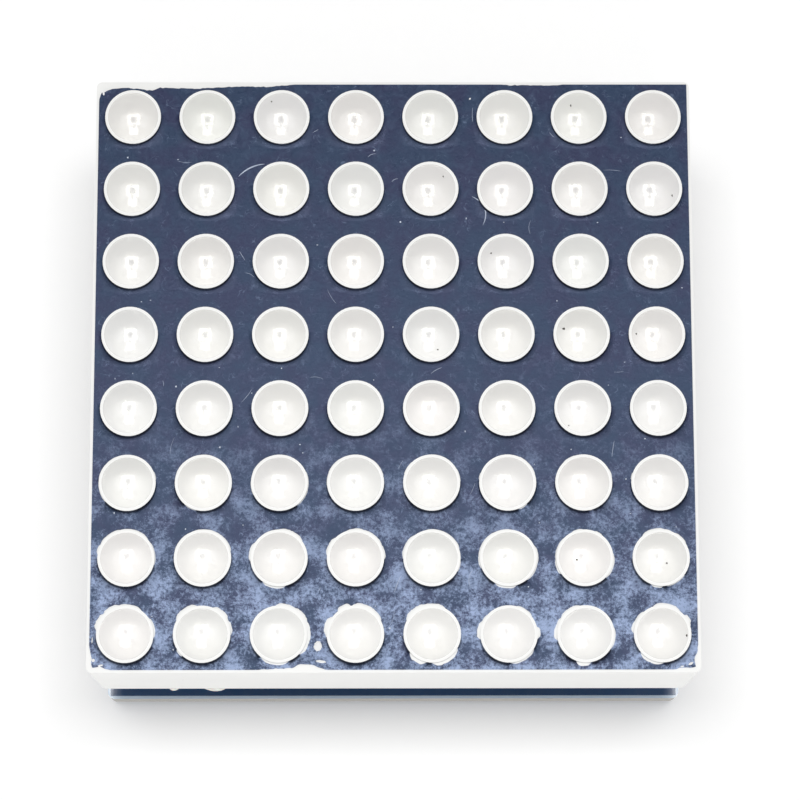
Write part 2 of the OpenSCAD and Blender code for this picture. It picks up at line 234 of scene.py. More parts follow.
def blobs(centres, sizes, phase, rings=7, segments=10, wobble=0.25):
    """Small irregular grains. Each is a sphere whose radius is 1 + wobble sin(3t + p) sin(2s + p),
    stretched by its three sizes: a function of the two angles s and t."""
    s = np.linspace(0.02, np.pi - 0.02, rings)[None, :, None]
    t = np.linspace(0, 2 * np.pi, segments, endpoint=False)[None, None, :]
    p = np.asarray(phase)[:, None, None]
    r = 1 + wobble * np.sin(3 * t + p) * np.sin(2 * s + p) * np.sin(s)
    unit = np.stack([r * np.sin(s) * np.cos(t), r * np.sin(s) * np.sin(t), r * np.cos(s) + 0 * t], -1)
    return unit * np.asarray(sizes)[:, None, None, :] + np.asarray(centres)[:, None, None, :]


def strip(path, width, height, base_z, up=1.0, taper=0.0):
    """A low ridge along a path in the plane: a cross-section of five points, carried along the
    path at right angles to it. taper narrows both ends. Formula: p(s) + w(s) c n(s), z + h(s) d."""
    path = np.asarray(path, float)
    step = np.gradient(path, axis=0)
    step /= np.linalg.norm(step, axis=1, keepdims=True)
    normal = np.stack([-step[:, 1], step[:, 0]], -1)
    s = np.linspace(0, 1, len(path))
    share = 1 - taper + taper * np.sqrt(np.clip(4 * s * (1 - s), 0.0004, 1))
    across = np.array([-1, -0.6, 0.6, 1, 0]) * width / 2
    lift = np.array([0, 1, 1, 0, -0.6]) * height
    xy = path[:, None] + normal[:, None] * (across[None, :, None] * share[:, None, None])
    z = base_z + up * lift[None, :] * share[:, None]
    return np.concatenate([xy, z[..., None]], -1)


def strip_faces(length, up=1.0):
    """Faces of one such ridge, with both ends closed."""
    sides = grid_faces(length, 5, wrap_columns=True)
    last = (length - 1) * 5
    near = np.array([[0, 1, 2, 3], [0, 3, 4, 0]])
    far = last + np.array([[3, 2, 1, 0], [4, 3, 0, 4]])
    faces = np.concatenate([sides[:, ::-1], near, far])
    return faces if up > 0 else np.concatenate([sides, near[:, ::-1], far[:, ::-1]])


def recalculate(piece, merge=1e-9):
    """Merges doubled points, and turns all faces outwards."""
    work = bmesh.new()
    work.from_mesh(piece.data)
    bmesh.ops.remove_doubles(work, verts=work.verts, dist=merge)
    bmesh.ops.dissolve_degenerate(work, edges=work.edges, dist=merge)
    bmesh.ops.recalc_face_normals(work, faces=work.faces)
    work.to_mesh(piece.data)
    work.free()


def close_ends(piece, segments):
    """Closes both open ends of ringed forms with a face each, and turns all faces outwards."""
    work = bmesh.new()
    work.from_mesh(piece.data)
    bmesh.ops.holes_fill(work, edges=[e for e in work.edges if len(e.link_faces) == 1], sides=segments)
    bmesh.ops.recalc_face_normals(work, faces=work.faces)
    work.to_mesh(piece.data)
    work.free()
    piece.data.polygons.foreach_set("use_smooth", np.full(len(piece.data.polygons), True))


# ---------------------------------------------------------------- finishes


def moulding_finish():
    """Moulded white plastic with half gloss: faint flow marks, a soft grain and grubby streaks."""
    material, tree, shader, coords = start_material("moulded_white_plastic", IOR=1.53, Roughness=0.38)
    colours = bpy.context.scene.dot_matrix_colours
    cloud = noise(tree, coords, 3.0, 4.0)
    tone = blend(tree, cloud, rgba(colours.plastic_shade), rgba(colours.plastic))
    grain = noise(tree, coords, 0.15, 3.0)
    emboss(tree, shader, 0.12, 0.02, grain)
    tree.links.new(tone, shader.inputs["Base Color"])
    return material


def ink_finish():
    """Screen-printed ink, navy and a little uneven. Handling has left smudges and hair-fine scratches on it.
    Towards the front edge it glitters with bright pale blue specks: partly rubbed wear, partly a painted sheen where
    the key lamp's reflection falls."""
    material, tree, shader, coords = start_material("screen_printed_ink", IOR=1.38, Specular_Tint=rgba("C6D6FF"))
    colours = bpy.context.scene.dot_matrix_colours
    place = add(tree, "ShaderNodeSeparateXYZ", {0: coords})
    cloud = noise(tree, coords, 1.6, 3.0)
    patch = add(tree, "ShaderNodeMapRange", {0: cloud, 1: 0.38, 2: 0.62})
    base = blend(tree, patch.outputs[0], rgba(colours.ink), rgba(colours.ink_shade))

    # Smudges, in strokes half a millimetre across
    smear = noise(tree, coords, 0.55, 5.0, Roughness=0.65, Distortion=0.8)
    smudge = add(tree, "ShaderNodeMapRange", {0: smear, 1: 0.5, 2: 0.75, 3: 0.0, 4: 0.45})
    smudged = blend(tree, smudge.outputs[0], base, rgba("4F6079"))

    # Hair scratches: the thin line where a slow pattern crosses its middle, broken up by another
    wander = noise(tree, coords, 0.7, 2.0, Distortion=1.5)
    line = calculate(tree, "COMPARE", wander, 0.5, 0.012)
    breaks = noise(tree, coords, 0.6, 1.0)
    keep = add(tree, "ShaderNodeMapRange", {0: breaks, 1: 0.52, 2: 0.66, 3: 0.0, 4: 0.3})
    hair = calculate(tree, "MULTIPLY", line, keep.outputs[0])
    scratched = blend(tree, hair, smudged, rgba("8496B2"))

    # Pale blue glitter of the front part, partly rubbed wear and partly painted sheen of the key lamp: fine grains
    # that gather in patches a millimetre across
    reach = add(tree, "ShaderNodeMapRange", {0: place.outputs[1], 1: -1.0 * MM, 2: -12.5 * MM})
    grains = noise(tree, coords, 0.2, 5.0, Roughness=0.8)
    gather = noise(tree, coords, 1.3, 2.0)
    share = calculate(tree, "MULTIPLY_ADD", gather, 0.7, grains)
    sill = calculate(tree, "MULTIPLY_ADD", reach.outputs[0], -0.13, 0.95)
    above = calculate(tree, "SUBTRACT", share, sill)
    rubbed_sheen_mask = add(tree, "ShaderNodeMapRange", {0: above, 1: -0.06, 2: 0.16, 3: 0.0, 4: 0.85})
    rubbed_sheen_share = calculate(tree, "MULTIPLY", rubbed_sheen_mask.outputs[0], reach.outputs[0])
    rubbed_and_sheen = blend(tree, rubbed_sheen_share, scratched, rgba(colours.ink_rubbed_sheen))

    # Painted shadow: the ink at the front foot of each rim is darkened, where shade falls before the raised rim
    painted_rim_shadow = add(tree, "ShaderNodeAttribute", attribute_name="painted_rim_shadow")
    colour = blend(tree, painted_rim_shadow.outputs["Fac"], rubbed_and_sheen, rgba("0E0F18"))
    tree.links.new(colour, shader.inputs["Base Color"])

    matt = add(tree, "ShaderNodeMapRange", {0: smear, 1: 0.35, 2: 0.7, 3: 0.24, 4: 0.45})
    tree.links.new(matt.outputs[0], shader.inputs["Roughness"])
    emboss(tree, shader, 0.5, 0.02, grains)
    return material


def resin_finish():
    """Cast epoxy with a little white filler: the eye goes through it to the cup and the die, which
    look soft and pale. Light from the lamps gets in, as shadow rays pass its surface."""
    material, tree, shader, coords = start_material(
        "milky_cast_epoxy", IOR=1.5, Roughness=0.26, Specular_IOR_Level=0.2, Transmission_Weight=0.34
    )
    tint = add(tree, "ShaderNodeAttribute", attribute_name="dot_tint")
    tree.links.new(tint.outputs["Color"], shader.inputs["Base Color"])
    ripple = noise(tree, coords, 0.7, 2.0)
    emboss(tree, shader, 0.15, 0.02, ripple)
    path = add(tree, "ShaderNodeLightPath")
    open_way = add(tree, "ShaderNodeBsdfTransparent", {"Color": rgba("F4F4F0")})
    mixed = add(
        tree, "ShaderNodeMixShader", {0: path.outputs["Is Shadow Ray"], 1: shader.outputs[0], 2: open_way.outputs[0]}
    )
    output = next(n for n in tree.nodes if n.type == "OUTPUT_MATERIAL")
    tree.links.new(mixed.outputs[0], output.inputs["Surface"])
    return material


def thick_resin_finish():
    """The same epoxy in bulk: too deep to see through, waxy white, with faint cloudiness."""
    material, tree, shader, coords = start_material(
        "bulk_cast_epoxy", IOR=1.5, Roughness=0.22, Subsurface_Weight=0.3, Subsurface_Scale=0.4 * MM
    )
    cloud = noise(tree, coords, 2.0, 4.0)
    tone = blend(tree, cloud, rgba("E4E3DB"), rgba("F2F1EA"))
    tree.links.new(tone, shader.inputs["Base Color"])
    return material


def crust_finish():
    """Whitened epoxy and plastic where the ink has flaked from a rim: dry, pale and a little rough."""
    material, tree, shader, coords = start_material("whitened_flakes", IOR=1.5, Roughness=0.5)
    grit = noise(tree, coords, 0.1, 4.0)
    tone = blend(tree, grit, rgba("F0F1F3"), rgba("FAFAF8"))
    emboss(tree, shader, 0.5, 0.03, grit)
    tree.links.new(tone, shader.inputs["Base Color"])
    return material


def dust_finish(name, first, second):
    """Lint and grit: dull grains whose tone drifts from one to the next."""
    material, tree, shader, coords = start_material(name, IOR=1.45, Roughness=0.7)
    drift = noise(tree, coords, 0.4, 2.0)
    tone = blend(tree, drift, rgba(first), rgba(second))
    tree.links.new(tone, shader.inputs["Base Color"])
    return material


def mask_finish(name, deep, bright):
    """Blue solder mask on glass laminate: glossy and slightly uneven over the weave. Along the routed
    edge runs a painted highlight, a pale blue band a sixth of a millimetre wide, and the cut sides are bare cream
    laminate."""
    material, tree, shader, coords = start_material(name, IOR=1.5, Coat_Weight=0.3, Coat_Roughness=0.08)
    cloud = noise(tree, coords, 5.0, 3.0)
    mask = blend(tree, cloud, rgba(deep), rgba(bright))
    place = add(tree, "ShaderNodeSeparateXYZ", {0: coords})
    # Painted highlight: a pale blue band along the board's top edge, where light catches it
    aside = [calculate(tree, "ABSOLUTE", place.outputs[k]) for k in (0, 1)]
    highlight_band = [calculate(tree, "GREATER_THAN", aside[k], BOARD_HALF[k] - EDGE_HIGHLIGHT_BAND) for k in (0, 1)]
    in_highlight_band = calculate(tree, "MAXIMUM", highlight_band[0], highlight_band[1])
    edge_highlight = blend(tree, in_highlight_band, mask, rgba("CBDDF0"))
    glass = noise(tree, coords, 0.35, 3.0)
    cut = blend(tree, glass, rgba("99958E"), rgba("ABA7A0"))
    facing = add(tree, "ShaderNodeNewGeometry")
    tilt = add(tree, "ShaderNodeSeparateXYZ", {0: facing.outputs["True Normal"]})
    upright = calculate(tree, "ABSOLUTE", tilt.outputs[2])
    side = calculate(tree, "LESS_THAN", upright, 0.5)
    colour = blend(tree, side, edge_highlight, cut)
    tree.links.new(colour, shader.inputs["Base Color"])
    dull = add(tree, "ShaderNodeMapRange", {0: side, 3: 0.25, 4: 0.7})
    tree.links.new(dull.outputs[0], shader.inputs["Roughness"])
    weave = add(tree, "ShaderNodeTexBrick", {"Vector": coords, "Scale": PER_MM / 1.2})
    emboss(tree, shader, 0.05, 0.01, weave.outputs["Fac"])
    return material


def laminate_finish(dark, pale):
    """White solder mask on the LED board: matt white, slightly warm."""
    material, tree, shader, coords = start_material("white_solder_mask", IOR=1.5, Roughness=0.45)
    cloud = noise(tree, coords, 1.0, 3.0)
    tone = blend(tree, cloud, rgba(dark), rgba(pale))
    tree.links.new(tone, shader.inputs["Base Color"])
    return material


def metal_finish(name, pale, dark, low, high, grain_mm, lift=0.1):
    """Bare metal: two tones of it in soft clouds, with a roughness that follows the same clouds."""
    material, tree, shader, coords = start_material(name, Metallic=1.0)
    cloud = noise(tree, coords, grain_mm, 4.0)
    tone = blend(tree, cloud, rgba(pale), rgba(dark))
    dull = add(tree, "ShaderNodeMapRange", {0: cloud, 1: 0.3, 2: 0.7, 3: low, 4: high})
    emboss(tree, shader, lift, 0.02, cloud)
    tree.links.new(tone, shader.inputs["Base Color"])
    tree.links.new(dull.outputs[0], shader.inputs["Roughness"])
    return material


def grainy_finish(name, pale, dark, rough, grain_mm, ior=1.5, lift=0.2):
    """Plain moulded or sintered stuff: two near tones in a fine grain, with a matching bump."""
    material, tree, shader, coords = start_material(name, IOR=ior, Roughness=rough)
    grain = noise(tree, coords, grain_mm, 5.0)
    tone = blend(tree, grain, rgba(pale), rgba(dark))
    emboss(tree, shader, lift, 0.02, grain)
    tree.links.new(tone, shader.inputs["Base Color"])
    return material


# ---------------------------------------------------------------- settings


class DotMatrixSizes(bpy.types.PropertyGroup):
    """Sizes of the dressed pieces."""

    dot_segments: bpy.props.IntProperty(
        name="Dot Segments", description="Points round each dot", default=48, min=24, max=64
    )
    bury: bpy.props.FloatProperty(
        name="Bury", description="Reach of the resin into the plastic round it", default=0.02 * MM, unit="LENGTH"
    )
    flake_reach: bpy.props.FloatProperty(
        name="Flake Reach",
        description="Longest reach of bare plastic beyond a rim in the front row",
        default=0.2 * MM,
        unit="LENGTH",
    )
    scratch_width: bpy.props.FloatProperty(
        name="Scratch Width", description="Width of a scratch in the ink", default=0.05 * MM, unit="LENGTH"
    )
    track_width: bpy.props.FloatProperty(
        name="Track Width", description="Width of a copper track on the driver board", default=0.3 * MM, unit="LENGTH"
    )
    dust_count: bpy.props.IntProperty(
        name="Dust Grains", description="Grains of dust on the inked face", default=45, min=0, max=400
    )


class DotMatrixColours(bpy.types.PropertyGroup):
    """Colours of the dressed pieces, as linear red, green and blue."""

    plastic: bpy.props.FloatVectorProperty(
        name="Plastic",
        description="Moulded plastic of the shell",
        default=linear("F6F6F4"),
        min=0.0,
        max=1.0,
        subtype="COLOR",
    )
    plastic_shade: bpy.props.FloatVectorProperty(
        name="Plastic Shade",
        description="Darker tone that the plastic drifts to",
        default=linear("EFEFED"),
        min=0.0,
        max=1.0,
        subtype="COLOR",
    )
    ink: bpy.props.FloatVectorProperty(
        name="Ink",
        description="Ink on the face",
        default=linear("272A46"),
        min=0.0,
        max=1.0,
        subtype="COLOR",
    )
    ink_shade: bpy.props.FloatVectorProperty(
        name="Ink Shade",
        description="Bluer tone that the ink drifts to",
        default=linear("22334B"),
        min=0.0,
        max=1.0,
        subtype="COLOR",
    )
    # Pale blue of the front of the face: partly rubbed ink, partly painted sheen of the key lamp
    ink_rubbed_sheen: bpy.props.FloatVectorProperty(
        name="Rubbed Ink",
        description="Pale glitter of the rubbed ink",
        default=linear("A9BBDD"),
        min=0.0,
        max=1.0,
        subtype="COLOR",
    )
    resin: bpy.props.FloatVectorProperty(
        name="Resin",
        description="Milky resin of the dots",
        default=(0.94, 0.93, 0.915),
        min=0.0,
        max=1.0,
        subtype="COLOR",
    )
    mask: bpy.props.FloatVectorProperty(
        name="Solder Mask",
        description="Solder mask of the driver board",
        default=linear("173C64"),
        min=0.0,
        max=1.0,
        subtype="COLOR",
    )
    mask_shade: bpy.props.FloatVectorProperty(
        name="Solder Mask Shade",
        description="Brighter tone that the mask drifts to",
        default=linear("1C497A"),
        min=0.0,
        max=1.0,
        subtype="COLOR",
    )


class DotMatrixStage(bpy.types.PropertyGroup):
    """Camera and light."""

    lens: bpy.props.FloatProperty(name="Lens", description="Focal length", default=129.5, unit="CAMERA")
    camera_place: bpy.props.FloatVectorProperty(
        name="Camera", description="Place of the camera", default=(-0.0005, -0.03215, 0.16353), subtype="TRANSLATION"
    )
    tilt: bpy.props.FloatProperty(
        name="Tilt", description="Lean of the view from straight down", default=np.radians(-10.8), unit="ROTATION"
    )
    roll: bpy.props.FloatProperty(
        name="Roll", description="Turn of the view about its axis", default=np.radians(0.106), unit="ROTATION"
    )
    yaw: bpy.props.FloatProperty(
        name="Yaw", description="Turn of the view to the side", default=np.radians(0.323), unit="ROTATION"
    )
    key_power: bpy.props.FloatProperty(
        name="Key Light", description="Power of the lamp over the face", default=1.3, unit="POWER"
    )
    front_power: bpy.props.FloatProperty(
        name="Front Light", description="Power of the lamp before the front edge", default=1.1, unit="POWER"
    )
    sky: bpy.props.FloatProperty(name="Sky", description="Strength of the light from all round", default=0.42)


# ---------------------------------------------------------------- operators


class DOTMATRIX_OT_dots(bpy.types.Operator):
    """Cast the milky dots: a plug of resin in every cup, with a shallow dome over its rim"""

    bl_idname = "dotmatrix.dots"
    bl_label = "Cast Dots"

    def execute(self, context):
        sizes = context.scene.dot_matrix_sizes
        rng = np.random.default_rng(SEED)
        centres = dot_centres()
        segments = sizes.dot_segments
        # Profile: a dome z = rim + h (1 - (r / R)^2), then down the cup's wall, then across the board
        dome_r = np.linspace(0, CUP_FRONT_R + sizes.bury, 11)
        dome_z = RIM_Z + DOME_H * (1 - (dome_r / CUP_FRONT_R) ** 2)
        foot_z = LED_HIGH.z - 0.05 * MM
        wall_r = np.array([CUP_FRONT_R, CUP_BACK_R, CUP_BACK_R, 0.0]) + np.array([1, 1, 1, 0]) * sizes.bury
        wall_z = np.array([RIM_Z - 0.05 * MM, CUP_BACK_Z, foot_z, foot_z])
        one = capped_turn(np.concatenate([dome_r, wall_r]), np.concatenate([dome_z, wall_z]), segments)
        rings = len(one)
        points = np.broadcast_to(one, (len(centres), *one.shape)).copy()
        angle = np.arctan2(one[..., 1], one[..., 0])
        reach = np.hypot(one[..., 0], one[..., 1]) / CUP_FRONT_R
        # Each dome has set a little differently: height and a slight lean to one side
        height = rng.uniform(-0.03, -0.006, len(centres)) * MM
        lean, side = rng.uniform(0, 0.01, len(centres)) * MM, rng.uniform(0, 2 * np.pi, len(centres))
        on_dome = (np.arange(rings) < len(dome_r) - 1)[None, :, None]
        bulge = height[:, None, None] * (1 - reach**2) + lean[:, None, None] * reach * (1 - reach) * np.cos(
            angle - side[:, None, None]
        )
        points[..., 2] += np.where(on_dome, bulge, 0)
        points[..., :2] += centres[:, None, None, :]
        faces = repeat_faces(polar_faces(rings, segments), rings * segments, len(centres))
        piece = mesh_piece("casting_dots", points, faces, resin_finish())
        # A slight tint of its own for each dot, from one batch of resin to the next
        tint = np.array(context.scene.dot_matrix_colours.resin) + rng.uniform(-0.01, 0.01, (len(centres), 3))
        colour = np.concatenate([tint, np.ones((len(centres), 1))], 1)
        layer = piece.data.attributes.new("dot_tint", "FLOAT_COLOR", "POINT")
        layer.data.foreach_set("color", np.repeat(colour, rings * segments, 0).astype(np.float32).ravel())
        recalculate(piece)
        piece.data.set_sharp_from_angle(angle=np.radians(35))
        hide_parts("epoxy_casting")

        # Lands: two white pillows of mask beside each die. Outline: |x/a|^4 + |y/b|^4 = 1, height h (1 - t^6)
        turn = np.linspace(0, 2 * np.pi, 32, endpoint=False)
        a, b, h = 0.36 * MM, 0.42 * MM, 0.03 * MM
        edge = (np.abs(np.cos(turn) / a) ** 4 + np.abs(np.sin(turn) / b) ** 4) ** -0.25
        t = np.array([0.0, 0.4, 0.7, 0.88, 1.0, 1.0, 0.0])
        z = LED_HIGH.z + np.concatenate([h * (1 - t[:5] ** 6), [-0.02 * MM, -0.02 * MM]])
        out = t[:, None] * edge
        pillow = np.stack([out * np.cos(turn), out * np.sin(turn), z[:, None] + 0 * edge], -1)
        beside = np.array([[-0.52, 0.3, 0], [0.32, 0.3, 0]]) * MM
        middles = np.concatenate([centres, np.zeros((len(centres), 1))], 1)
        at = (middles[:, None] + beside[None]).reshape(-1, 1, 1, 3)
        faces = repeat_faces(polar_faces(7, 32), 7 * 32, len(at))
        land = mesh_piece("mask_lands", pillow + at, faces, laminate_finish("FBFAF6", "FFFFFF"))
        recalculate(land)
        return {"FINISHED"}


class DOTMATRIX_OT_casting_back(bpy.types.Operator):
    """Pour the resin behind the cups, with its climb up the walls and pins and the runs over the front rim"""

    bl_idname = "dotmatrix.casting_back"
    bl_label = "Pour Back Casting"

    def execute(self, context):
        sizes = context.scene.dot_matrix_sizes
        half = CAVITY_HALF + sizes.bury
        # Lower surface: z = fill - climb exp(-d / reach), where d is the distance to a wall or a pin
        even = np.linspace(-1, 1, 81)
        along = half * np.sign(even) * (1 - (1 - np.abs(even)) ** 1.5)
        x, y = np.meshgrid(along, along, indexing="ij")
        to_wall = half - np.maximum(np.abs(x), np.abs(y))
        pins_x, pins_y = np.meshgrid(PIN_XS, [-PIN_ROW_Y, PIN_ROW_Y])
        to_pin = np.min(np.hypot(x[..., None] - pins_x.ravel(), y[..., None] - pins_y.ravel()), -1)
        ripple = 0.015 * MM * np.sin(x * 900 + 2 * np.sin(y * 500)) * np.cos(y * 700)
        low = FILL_Z + ripple - 0.22 * MM * np.exp(-to_wall / (0.5 * MM)) - 0.2 * MM * np.exp(-to_pin / (0.35 * MM))
        top = np.full_like(low, LED_LOW.z - 0.1 * MM)
        count = len(along)
        under = np.stack([x, y, low], -1).reshape(-1, 3)
        over = np.stack([x, y, top], -1).reshape(-1, 3)
        sheet = grid_faces(count, count)
        edge = np.concatenate(
            [
                np.arange(count - 1),
                (np.arange(count - 1) + 1) * count - 1,
                count * count - 1 - np.arange(count - 1),
                (count - 1 - np.arange(count - 1)) * count,
            ]
        )
        turn = np.roll(edge, -1)
        rim = np.stack([edge, turn, turn + count * count, edge + count * count], -1)
        faces = np.concatenate([sheet, sheet[:, ::-1] + count * count, rim])
        resin = thick_resin_finish()
        piece = mesh_piece("casting_back", np.concatenate([under, over]), faces, resin)
        recalculate(piece)

        # Runs: flattened drops with a slow wobble, hung under the front wall
        first = dot_centres()[0, 0]
        middles = np.array([[first + 2 * MM, 0.8 * MM], [first + 4.2 * MM, 1.9 * MM]])
        front = SHELL_LOW.y
        proud = 0.13 * MM
        depth = 1.1 * MM
        centre = np.stack([middles[:, 0], np.full(2, front - proud + depth / 2), np.full(2, BACK_Z)], -1)
        radii = np.stack([middles[:, 1] / 2, np.full(2, depth / 2), np.full(2, 0.38 * MM)], -1)
        drops = blobs(centre, radii, [0.4, 2.1], rings=17, segments=32, wobble=0.06)
        faces = repeat_faces(grid_faces(17, 32, wrap_columns=True), 17 * 32, 2)
        runs = mesh_piece("casting_runs", drops, faces, resin)
        close_ends(runs, 32)
        return {"FINISHED"}


def square_walk(side):
    """Points round the square from -1 to 1, side points to each side, and the side each starts on."""
    run = np.linspace(-1, 1, side, endpoint=False)
    one = np.ones(side)
    right, back = np.stack([one, run], -1), np.stack([-run, one], -1)
    walk = np.concatenate([right, back, -right, -back])
    return walk, np.repeat(np.arange(4), side)


def rim_reach(t, rng, longest):
    """Bare plastic left beyond each rim where ink has flaked: flat-topped humps, most of them on the
    back half. Formula: the highest of h clip(1.4 - ((t - t0) / w)^2, 0, 1) over a few humps."""
    dots = len(longest)
    at = np.where(rng.random((dots, 6)) < 0.8, rng.uniform(0.0, 1.0, (dots, 6)), rng.uniform(1.0, 2.0, (dots, 6)))
    wide = rng.uniform(0.15, 0.5, (dots, 6))
    tall = rng.uniform(0.3, 1.0, (dots, 6)) * longest[:, None]
    away = np.abs((t[:, None, :] - at[..., None] * np.pi + np.pi) % (2 * np.pi) - np.pi)
    humps = tall[..., None] * np.clip(1.4 - (away / wide[..., None]) ** 2, 0, 1)
    return humps.max(1) * rng.uniform(0.88, 1.08, t.shape)


class DOTMATRIX_OT_ink(bpy.types.Operator):
    """Print the ink: a thin layer round the rims that climbs a little at the front of each rim,
    and that is chipped along the edges and flaked round the front rows of dots"""

    bl_idname = "dotmatrix.ink"
    bl_label = "Print Ink"

    def execute(self, context):
        sizes = context.scene.dot_matrix_sizes
        rng = np.random.default_rng(SEED + 1)
        centres = dot_centres()
        walk, side = square_walk(28)
        steps = len(walk)
        column, row = np.tile(np.arange(DOTS), DOTS), np.repeat(np.arange(DOTS), DOTS)
        last = DOTS - 1

        # Outer line of each dot's share of the ink: a square, pulled in at the edge of the print
        corner = centres[:, None, :] + walk[None] * PITCH / 2
        edge = INK_HIGH.x
        jag = rng.uniform(-0.03, 0.03, (4, 400)) * MM
        along = np.linspace(-edge, edge, 400)
        chips = [np.interp(along, *(np.array(chip).T * MM)) for chip in INK_CHIPS]
        chips = [np.where(chip > 0.001 * MM, np.clip(chip + j, 0.015 * MM, None), 0) for chip, j in zip(chips, jag)]
        x, y = corner[..., 0].copy(), corner[..., 1].copy()
        x = np.minimum(x, edge - np.interp(y, along, chips[0]))
        y = np.minimum(y, edge - np.interp(x, along, chips[1]))
        x = np.maximum(x, -edge + np.interp(y, along, chips[2]))
        y = np.maximum(y, -edge + np.interp(x, along, chips[3]))
        outer = np.stack([x, y], -1)
        # Every share starts a hair outside its rim, whatever has chipped away beyond
        offset = outer - centres[:, None]
        reach = np.linalg.norm(offset, axis=-1)
        unit = walk / np.linalg.norm(walk, axis=-1, keepdims=True)
        unit = np.broadcast_to(unit, offset.shape)
        short = reach < DOT_R + 0.02 * MM
        offset = np.where(short[..., None], unit * (DOT_R + 0.02 * MM), offset)
        reach = np.linalg.norm(offset, axis=-1)
        unit = offset / reach[..., None]
        t = np.arctan2(unit[..., 1], unit[..., 0])

        # Inner line: at the rim, or beyond it where ink has flaked off
        longest = np.interp(row, [4, 5, 6, 7], [0, 0.25, 0.55, 1.0]) * sizes.flake_reach
        flaked = rim_reach(t, rng, longest)
        flaked = np.where(flaked > 0.02 * MM, flaked, 0)
        inner = np.where(flaked > 0, DOT_R + flaked, DOT_R - sizes.bury)
        inner = np.minimum(inner, reach - 0.012 * MM)
        # Climb at the front of each rim: height and width fade towards the sides
        front = np.clip(-np.sin(t) * 1.15 + 0.1, 0, 1) ** 0.6 * (flaked == 0)
        wide = front * np.interp(row, [0, 7], [0.09, 0.16])[:, None] * MM
        tall = front * 0.1 * MM
        wide = np.minimum(wide, np.clip(reach - inner - 0.02 * MM, 0, None))
        radii = [
            reach,
            reach,
            0.5 * (reach + inner + sizes.bury + wide),
            inner + sizes.bury + wide,
            inner + sizes.bury + 0.5 * wide,
            inner + sizes.bury + 0.15 * wide,
            inner,
            inner,
        ]
        low = INK_LOW.z - 0.02 * MM
        heights = [low, FACE_Z, FACE_Z, FACE_Z, FACE_Z + 0.25 * tall, FACE_Z + 0.65 * tall, FACE_Z + tall, low]
        radius = np.stack(radii, 1)
        height = np.stack([np.broadcast_to(h, reach.shape) for h in heights], 1)
        flat = centres[:, None, None, :] + unit[:, None] * radius[..., None]
        points = np.concatenate([flat, height[..., None]], -1)
        # Faces: rings joined to each other and round, but no wall between two shares of ink
        faces = repeat_faces(grid_faces(8, steps, wrap_rows=True, wrap_columns=True), 8 * steps, len(centres))
        faces = faces.reshape(len(centres), 8, steps, 4)
        keep = np.ones(faces.shape[:3], bool)
        border = np.stack([column == last, row == 0, column == 0, row == last], 1)
        keep[:, 0, :] = border[:, side]
        # Painted shadow along the front foot of each rim, weighted like the climb there
        painted_rim_shadow = np.zeros(points.shape[:3])
        painted_rim_shadow[:, 3] = 0.35 * front
        painted_rim_shadow[:, 4:7] = (0.95 * front)[:, None]
        piece = mesh_piece("printed_ink", points, faces[keep], ink_finish())
        layer = piece.data.attributes.new("painted_rim_shadow", "FLOAT", "POINT")
        layer.data.foreach_set("value", painted_rim_shadow.astype(np.float32).ravel())
        recalculate(piece, 2e-7)
        piece.data.set_sharp_from_angle(angle=np.radians(50))
        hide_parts("face_ink")

        # Loose flakes: irregular low mounds of bare plastic colour. Place, half sizes and turn of each
        flakes = np.array(INK_FLAKES)
        turn = np.linspace(0, 2 * np.pi, 28, endpoint=False)
        outline = 1 + 0.16 * np.sin(2 * turn + flakes[:, 4:5] * 3) + 0.1 * rng.uniform(-1, 1, (len(flakes), 28))
        share = np.array([0.0, 0.5, 0.85, 1.0, 1.0, 0.0])
        rise = np.array([0.03, 0.028, 0.02, 0.004, -0.03, -0.03]) * MM
        u = share[None, :, None] * (outline * np.cos(turn))[:, None] * flakes[:, 2, None, None]
        v = share[None, :, None] * (outline * np.sin(turn))[:, None] * flakes[:, 3, None, None]
        c, s = np.cos(flakes[:, 4])[:, None, None], np.sin(flakes[:, 4])[:, None, None]
        x = (flakes[:, 0, None, None] + c * u - s * v) * MM
        y = (flakes[:, 1, None, None] + s * u + c * v) * MM
        z = np.broadcast_to(FACE_Z + rise[None, :, None], x.shape)
        faces = repeat_faces(polar_faces(6, 28), 6 * 28, len(flakes))
        piece = mesh_piece("ink_flakes", np.stack([x, y, z], -1), faces, crust_finish())
        recalculate(piece)
        return {"FINISHED"}


